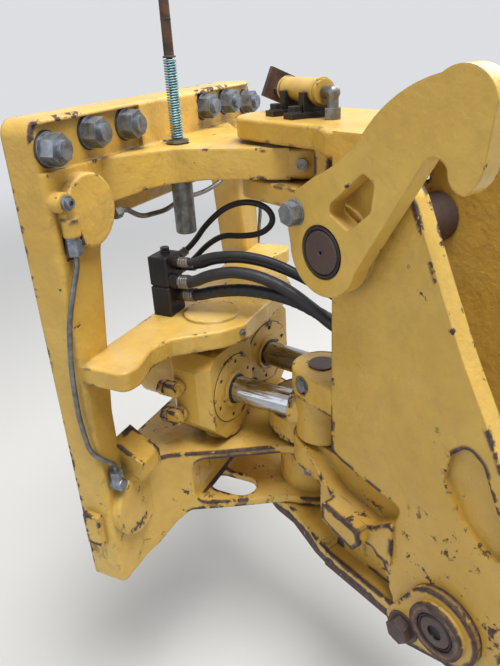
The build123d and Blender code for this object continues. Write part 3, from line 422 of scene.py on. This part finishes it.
def walls(rings, sides):
    """The quads between each ring of corners and the next."""
    faces = []
    for start in range(0, (rings - 1) * sides, sides):
        for k in range(sides):
            a, b = start + k, start + (k + 1) % sides
            faces.append((a, b, b + sides, a + sides))
    return faces


def end_caps(rings, sides):
    last = (rings - 1) * sides
    return [tuple(range(sides))[::-1], tuple(range(last, last + sides))]


def smooth_line(route, step):
    """Evenly spaced points along a smooth spline through the route."""
    curve = bpy.data.curves.new("guide", "CURVE")
    curve.dimensions = "3D"
    spline = curve.splines.new("NURBS")
    spline.points.add(len(route) - 1)
    for point, place in zip(spline.points, route):
        point.co = (*place, 1.0)
    spline.order_u = 3
    spline.use_endpoint_u = True
    spline.resolution_u = 24
    guide = bpy.data.objects.new("guide", curve)
    bpy.context.collection.objects.link(guide)
    bpy.context.view_layer.update()
    mesh = bpy.data.meshes.new_from_object(guide)
    raw = [vert.co.copy() for vert in mesh.vertices]
    bpy.data.objects.remove(guide)
    bpy.data.meshes.remove(mesh)
    gone = [0.0]
    for a, b in zip(raw, raw[1:]):
        gone.append(gone[-1] + (b - a).length)
    count = max(int(gone[-1] / step), 8)
    line = []
    k = 0
    for n in range(count + 1):
        at = gone[-1] * n / count
        while k < len(gone) - 2 and gone[k + 1] < at:
            k += 1
        share = (at - gone[k]) / max(gone[k + 1] - gone[k], 1e-9)
        line.append(raw[k].lerp(raw[k + 1], share))
    return line


def tube(name, line, radius_at, material, sides=20):
    """A closed tube round the line, with radius_at(length along it, angle) as its radius."""
    verts = []
    angles = circle(sides)
    across = (line[1] - line[0]).normalized().orthogonal().normalized()
    gone = 0.0
    for n, place in enumerate(line):
        ahead = line[min(n + 1, len(line) - 1)] - line[max(n - 1, 0)]
        ahead.normalize()
        across = (across - ahead * across.dot(ahead)).normalized()
        other = ahead.cross(across)
        if n:
            gone += (place - line[n - 1]).length
        for angle in angles:
            out = across * math.cos(angle) + other * math.sin(angle)
            verts.append(place + out * radius_at(gone, angle))
    faces = walls(len(line), sides) + end_caps(len(line), sides)
    return add_piece(name, verts, faces, material, smooth_walls=True)


def turned(name, profile, centre, axis, material, body, sides=48, ring=False):
    """A turned piece that rides on the body.

    profile holds pairs of radius and height along the axis. It ends in two flat faces, or with
    ring it closes on itself.
    """
    axis = Vector(axis).normalized()
    across = axis.orthogonal().normalized()
    other = axis.cross(across)
    centre = Vector(centre)
    verts = []
    angles = circle(sides)
    for radius, level in profile:
        for angle in angles:
            out = across * math.cos(angle) + other * math.sin(angle)
            verts.append(centre + axis * level + out * radius)
    faces = walls(len(profile), sides)
    if ring:
        last = (len(profile) - 1) * sides
        for k in range(sides):
            b = (k + 1) % sides
            faces.append((last + k, last + b, b, k))
    else:
        faces += end_caps(len(profile), sides)
    piece = add_piece(name, verts, faces, material)
    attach(piece, body)
    return piece


# Hoses

HOSE_STEP = 0.003
WRAP_STEP = 0.0016
WRAP_PITCH = 0.013  # the width of the band wound round a hose
FERRULE_LENGTH = 0.024
PORT_RUN = (-104.0, -130.0)  # Y of the manifold's ports, and of the end of the straight run there
POST_RUN = (-120.0, -160.0)  # Y, in the post's own frame, of the last straight run between cheeks

# The hoses that cross the swing axis, in millimetres: X and Z of the port in the manifold, the way
# from there, and X and Z of the end in the swing post's own frame.
crossing_hoses = {
    "work_upper": {
        "radius": 9.5, "port": (-100.0, -252.0), "end": (-50.0, -300.0),
        "way": [(-97.0, -160.0, -236.0), (-92.0, -215.0, -224.0), (-91.0, -285.0, -240.0),
                (-94.0, -338.0, -272.0)],
    },
    "work_lower": {
        "radius": 9.5, "port": (-88.0, -279.0), "end": (-18.0, -313.0),
        "way": [(-85.0, -162.0, -268.0), (-80.0, -225.0, -259.0), (-75.0, -298.0, -268.0),
                (-70.0, -352.0, -296.0)],
    },
    "pilot_upper": {
        "radius": 6.0, "port": (-97.0, -219.0), "end": (-36.0, -262.0),
        "way": [(-91.0, -162.0, -204.0), (-84.0, -224.0, -198.0), (-83.0, -290.0, -211.0),
                (-83.0, -344.0, -240.0)],
    },
    "pilot_lower": {
        "radius": 6.0, "port": (-78.0, -231.0), "end": (-6.0, -270.0),
        "way": [(-74.0, -162.0, -217.0), (-68.0, -220.0, -212.0), (-66.0, -285.0, -226.0),
                (-63.0, -347.0, -254.0)],
    },
}
loop_route = (
    (-57.0, -80.0, -224.0), (-41.0, -80.0, -224.0), (-29.0, -100.0, -203.0),
    (-28.0, -120.0, -176.0), (-22.0, -158.0, -143.0), (-20.0, -198.0, -131.0),
    (-19.0, -234.0, -139.0), (-19.0, -246.0, -162.0), (-20.0, -224.0, -184.0),
    (-18.0, -184.0, -192.0), (-14.0, -146.0, -194.0), (-11.0, -110.0, -216.0),
    (-18.0, -84.0, -244.0), (-39.0, -78.0, -250.0), (-57.0, -78.0, -250.0),
)


def ferrule(name, run, radius, body):
    """The crimped steel sleeve over the first stretch of a hose's run."""

    def crimped(gone, angle):
        # A plain rim, and then ridges with eight flats pressed into them.
        if gone < 0.002:
            return radius + 0.0012
        ridge = 0.0005 * math.cos(gone * 2 * math.pi / 0.0045)
        flats = 0.0004 * math.cos(8 * angle)
        return radius + 0.0022 + ridge + flats

    covered, gone = [run[0]], 0.0
    for a, b in zip(run, run[1:]):
        gone += (b - a).length
        if gone > FERRULE_LENGTH:
            break
        covered.append(b)
    fine = []
    for a, b in zip(covered, covered[1:]):
        fine += [a, a.lerp(b, 0.33), a.lerp(b, 0.67)]
    sleeve = tube(name, fine + [covered[-1]], crimped, zinc_dull, sides=32)
    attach(sleeve, body)


def bent_hose(name, node, route, radius, wrapped=False, far_body="carriage"):
    """A hose from the manifold, with a ferrule at each end. Where it crosses a joint it keeps its parked shape and
    rides on no body.
    """
    line = smooth_line(route, WRAP_STEP if wrapped else HOSE_STEP)

    def plain(gone, angle):
        return radius * (1.0 + 0.012 * math.sin(gone * 70.0 + angle))

    def wound(gone, angle):
        # A flat band round the hose, its edges pressed in a little.
        turn = (gone / WRAP_PITCH + angle / (2 * math.pi)) % 1.0
        edge = min(turn, 1.0 - turn)
        return radius + 0.0012 * min(edge / 0.10, 1.0) - 0.0005

    piece = tube(name, line, wound if wrapped else plain, rubber)
    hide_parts(node)
    if far_body == "carriage":
        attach(piece, "carriage")
    else:
        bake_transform(piece)
    ferrule(f"{name}_ferrule_0", line, radius, "carriage")
    ferrule(f"{name}_ferrule_1", line[::-1], radius, far_body)


def crossing_route(port, way, end):
    """Straight out of the port, along the way, and straight to the end between the cheeks."""
    (port_x, port_z), (end_x, end_z) = port, end
    out_of_port = metres([(port_x, y, port_z) for y in PORT_RUN])
    return out_of_port + metres(way) + [parked(end_x, y, end_z) for y in POST_RUN]


for hose, shape in crossing_hoses.items():
    bent_hose(
        f"{hose}_hose", f"hose_{hose}",
        crossing_route(shape["port"], shape["way"], shape["end"]), shape["radius"] / 1000,
        wrapped=hose == "work_lower", far_body="swing_post")
bent_hose("loop_hose", "hose_fixed_loop", metres(loop_route), 0.005)


# Spring and pins

PULL_ROD_AXIS = (-0.056, -0.101)


def coil_spring():
    """The closely wound spring round the pull rod."""
    bottom, top, radius, wire, turns = -0.0285, 0.0845, 0.0085, 0.0014, 33
    closed = 0.05  # the share at each end whose turns lie on each other
    rise = 2 * wire
    steps = 18 * turns
    points = []
    for n in range(steps + 1):
        angle = 2 * math.pi * turns * n / steps
        share = min(max((n / steps - closed) / (1 - 2 * closed), 0.0), 1.0)
        level = bottom + wire + 0.9 * rise * n / steps + (top - bottom - 2 * rise) * share
        points.append(Vector((
            PULL_ROD_AXIS[0] + radius * math.cos(angle),
            PULL_ROD_AXIS[1] + radius * math.sin(angle),
            level,
        )))
    piece = tube("pin_spring_coil", points, lambda gone, angle: wire, spring_steel, sides=7)
    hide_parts("pin_spring")
    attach(piece, "carriage")


def pull_handle():
    """The rod that draws the lock pin, thin inside its spring and wider above it."""
    profile = [
        (0.0045, -0.030), (0.0045, 0.0855), (0.0095, 0.0860), (0.0100, 0.0872),
        (0.0095, 0.0885), (0.0076, 0.0890), (0.0074, 0.1360), (0.0078, 0.1366),
        (0.0078, 0.1380), (0.0074, 0.1386), (0.0073, 0.1882), (0.0060, 0.1900),
    ]
    piece = turned(
        "pull_rod_handle", profile, (*PULL_ROD_AXIS, 0.0), (0.0, 0.0, 1.0), rusty_plate,
        "carriage", sides=32)
    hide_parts("pull_rod")


def pin_end(name, place, radius, hole):
    """A pin's face on the post's near side: a dark rim, and a turned face with a centre hole.

    place is in the post's own frame, in millimetres, and hole a share of the radius.
    """
    sides = 64
    centre = parked(*place)
    outward = Vector(parked(-1.0, 0.0, 0.0)) - Vector(parked(0.0, 0.0, 0.0))
    face = radius * 0.86
    rim = [
        (radius, 0.0), (radius, 0.0026), (radius - 0.0016, 0.0040), (face + 0.0022, 0.0040),
        (face + 0.0010, 0.0026), (face + 0.0010, 0.0),
    ]
    turned(
        f"{name}_rim", rim, centre, outward, black_iron, "swing_post",
        sides, ring=True)
    profile = [
        (face, 0.0), (face, 0.0030), (face - 0.0014, 0.0042), (radius * (hole + 0.05), 0.0046),
        (radius * hole, 0.0038), (radius * hole * 0.92, 0.0005),
    ]
    piece = turned(
        name, profile, centre, outward, pin_face, "swing_post", sides)
    piece.data.materials.append(black_iron)
    # The hole is painted black as the shade of a deep hole: its wall is the last band of quads, and its floor is
    # the last face.
    bands = len(profile) - 1
    for polygon in piece.data.polygons:
        wall = (bands - 1) * sides <= polygon.index < bands * sides
        if wall or polygon.index == bands * sides + 1:
            polygon.material_index = 1


def gland_rings(name):
    """The greasy line round a gland where it sits in its block, and the wiper round the rod."""
    trunnion = joints[f"cylinder_turn_{name}"]["pos_m"]
    along = joints[f"rod_slide_{name}"]["axis"]
    line = [(0.0625, 0.0325), (0.0625, 0.0335), (0.0609, 0.0335), (0.0609, 0.0325)]
    wiper = [
        (0.0272, 0.0385), (0.0272, 0.0408), (0.0262, 0.0418), (0.0241, 0.0418), (0.0241, 0.0385),
    ]
    for kind, profile in (("line", line), ("wiper", wiper)):
        turned(
            f"gland_{kind}_{name}", profile, trunnion, along, black_iron, f"barrel_{name}",
            sides=72, ring=True)


def bolt_seats(name, side):
    """Paint gone round each washer, where the nut was turned."""
    plate_front = -0.05
    bare = [(0.0244, -0.0002), (0.0236, 0.0005), (0.0218, 0.0005), (0.0218, -0.0002)]
    for number, (x, z) in enumerate(((0.118, 0.0), (0.202, 0.0), (0.287, -0.009))):
        turned(
            f"bolt_seat_{name}_{number}", bare, (side * x, plate_front, z), (0.0, -1.0, 0.0),
            rusty_plate, "carriage", sides=64, ring=True)


def plate_screw():
    """The small screw in the edge of the plate that holds the trunnions."""
    profile = [(0.0066, -0.001), (0.0066, 0.0012), (0.0050, 0.0014), (0.0050, 0.0044),
               (0.0042, 0.0050)]
    turned(
        "plate_screw", profile, (-0.1045, -0.2191, -0.3255), (-0.57, -0.82, 0.0), zinc_dull,
        "carriage", sides=6)


coil_spring()
pull_handle()
pin_end("hook_pin_end", (-145.0, -183.0, -139.0), radius=0.0325, hole=0.07)
pin_end("foot_pin_end", (-130.0, -387.0, -634.0), radius=0.0270, hole=0.40)
gland_rings("near")
gland_rings("far")
bolt_seats("near", -1)
bolt_seats("far", 1)
plate_screw()


# Stage

BACKDROP = (0.72, 0.735, 0.76)
FLOOR_COLOUR = (0.66, 0.66, 0.65, 1.0)
FLOOR_LEVEL = -1.11
FLOOR_REACH = 40.0
FLOOR_FADE = (1.6, 6.0)  # where the floor begins to run into the backdrop, and where it is one
SKY_LIGHT = 0.40  # how much of the backdrop's brightness lights the object


def area_light(name, place, target, size, power, colour):
    data = bpy.data.lights.new(name, "AREA")
    data.shape = "DISK"
    data.size = size
    data.energy = power
    data.color = colour
    light = bpy.data.objects.new(name, data)
    bpy.context.collection.objects.link(light)
    light.location = place
    light.rotation_euler = (Vector(target) - Vector(place)).to_track_quat("-Z", "Y").to_euler()


def seen_directly(tree):
    """One for what the camera sees at once, in a reflection or through glass, else nothing."""
    path = tree.nodes.new("ShaderNodeLightPath")
    either = path.outputs["Is Camera Ray"]
    for name in ("Is Glossy Ray", "Is Transmission Ray"):
        larger = tree.nodes.new("ShaderNodeMath")
        larger.operation = "MAXIMUM"
        tree.links.new(either, larger.inputs[0])
        tree.links.new(path.outputs[name], larger.inputs[1])
        either = larger.outputs[0]
    return either


def floor():
    """A pale floor that keeps the object's shadow and runs into the backdrop far away."""
    corners = [
        (x * FLOOR_REACH, y * FLOOR_REACH, FLOOR_LEVEL)
        for x, y in ((-1, -1), (1, -1), (1, 1), (-1, 1))
    ]
    s = Shader("pale_floor")
    ground = add_piece("floor", corners, [(0, 1, 2, 3)], s.finish(FLOOR_COLOUR, 0.75))
    distance = s.add("ShaderNodeVectorMath", operation="LENGTH")
    s.join(s.place, distance.inputs[0])
    away = s.times(s.ramp(distance.outputs["Value"], *FLOOR_FADE), seen_directly(s.tree))
    glow = s.add("ShaderNodeEmission")
    s.join((*BACKDROP, 1.0), glow.inputs["Color"])
    both = s.add("ShaderNodeMixShader")
    s.join(away, both.inputs[0])
    s.join(s.bsdf.outputs[0], both.inputs[1])
    s.join(glow.outputs[0], both.inputs[2])
    s.join(both.outputs[0], s.tree.nodes["Material Output"].inputs["Surface"])


def sky():
    """A world as pale as the far floor where it is seen, which lights the object with less."""
    world = bpy.data.worlds.new("studio")
    world.use_nodes = True
    tree = world.node_tree
    backdrop = tree.nodes["Background"]
    backdrop.inputs["Color"].default_value = (*BACKDROP, 1.0)
    level = tree.nodes.new("ShaderNodeMapRange")
    level.inputs["To Min"].default_value = SKY_LIGHT
    level.inputs["To Max"].default_value = 1.0
    tree.links.new(seen_directly(tree), level.inputs["Value"])
    tree.links.new(level.outputs["Result"], backdrop.inputs["Strength"])
    return world


def photo_camera():
    """The camera stands where the photograph was taken from."""
    place = (-0.9041, -0.6403, 0.1033)
    azimuth = math.radians(63.0)
    pitch = math.radians(25.5)
    roll = math.radians(-3.4)
    level_ahead = Vector((math.sin(azimuth), math.cos(azimuth), 0.0))
    ahead = level_ahead * math.cos(pitch) - Vector((0.0, 0.0, math.sin(pitch)))
    right = Vector((math.cos(azimuth), -math.sin(azimuth), 0.0))
    up = right.cross(ahead)
    rolled_right = math.cos(roll) * right + math.sin(roll) * up
    rolled_up = -math.sin(roll) * right + math.cos(roll) * up
    lens = bpy.data.cameras.new("camera")
    lens.lens = 33.15
    lens.sensor_width = 36.0
    lens.clip_start = 0.02
    camera = bpy.data.objects.new("camera", lens)
    bpy.context.collection.objects.link(camera)
    turn = Matrix((rolled_right, rolled_up, -ahead)).transposed().to_4x4()
    camera.matrix_world = Matrix.Translation(place) @ turn
    return camera


floor()
area_light("key", (-0.7, -1.15, 3.3), (0.0, -0.3, -0.35), 2.4, 200.0, (1.0, 0.98, 0.95))
area_light("fill", (-3.0, 1.2, 0.8), (0.0, -0.3, -0.4), 2.8, 16.0, (0.93, 0.96, 1.0))
area_light("back", (2.4, -1.2, 1.9), (0.0, -0.3, -0.3), 2.2, 60.0, (1.0, 0.99, 0.97))
scene = bpy.context.scene
scene.world = sky()
scene.view_settings.view_transform = "Standard"
scene.camera = photo_camera()
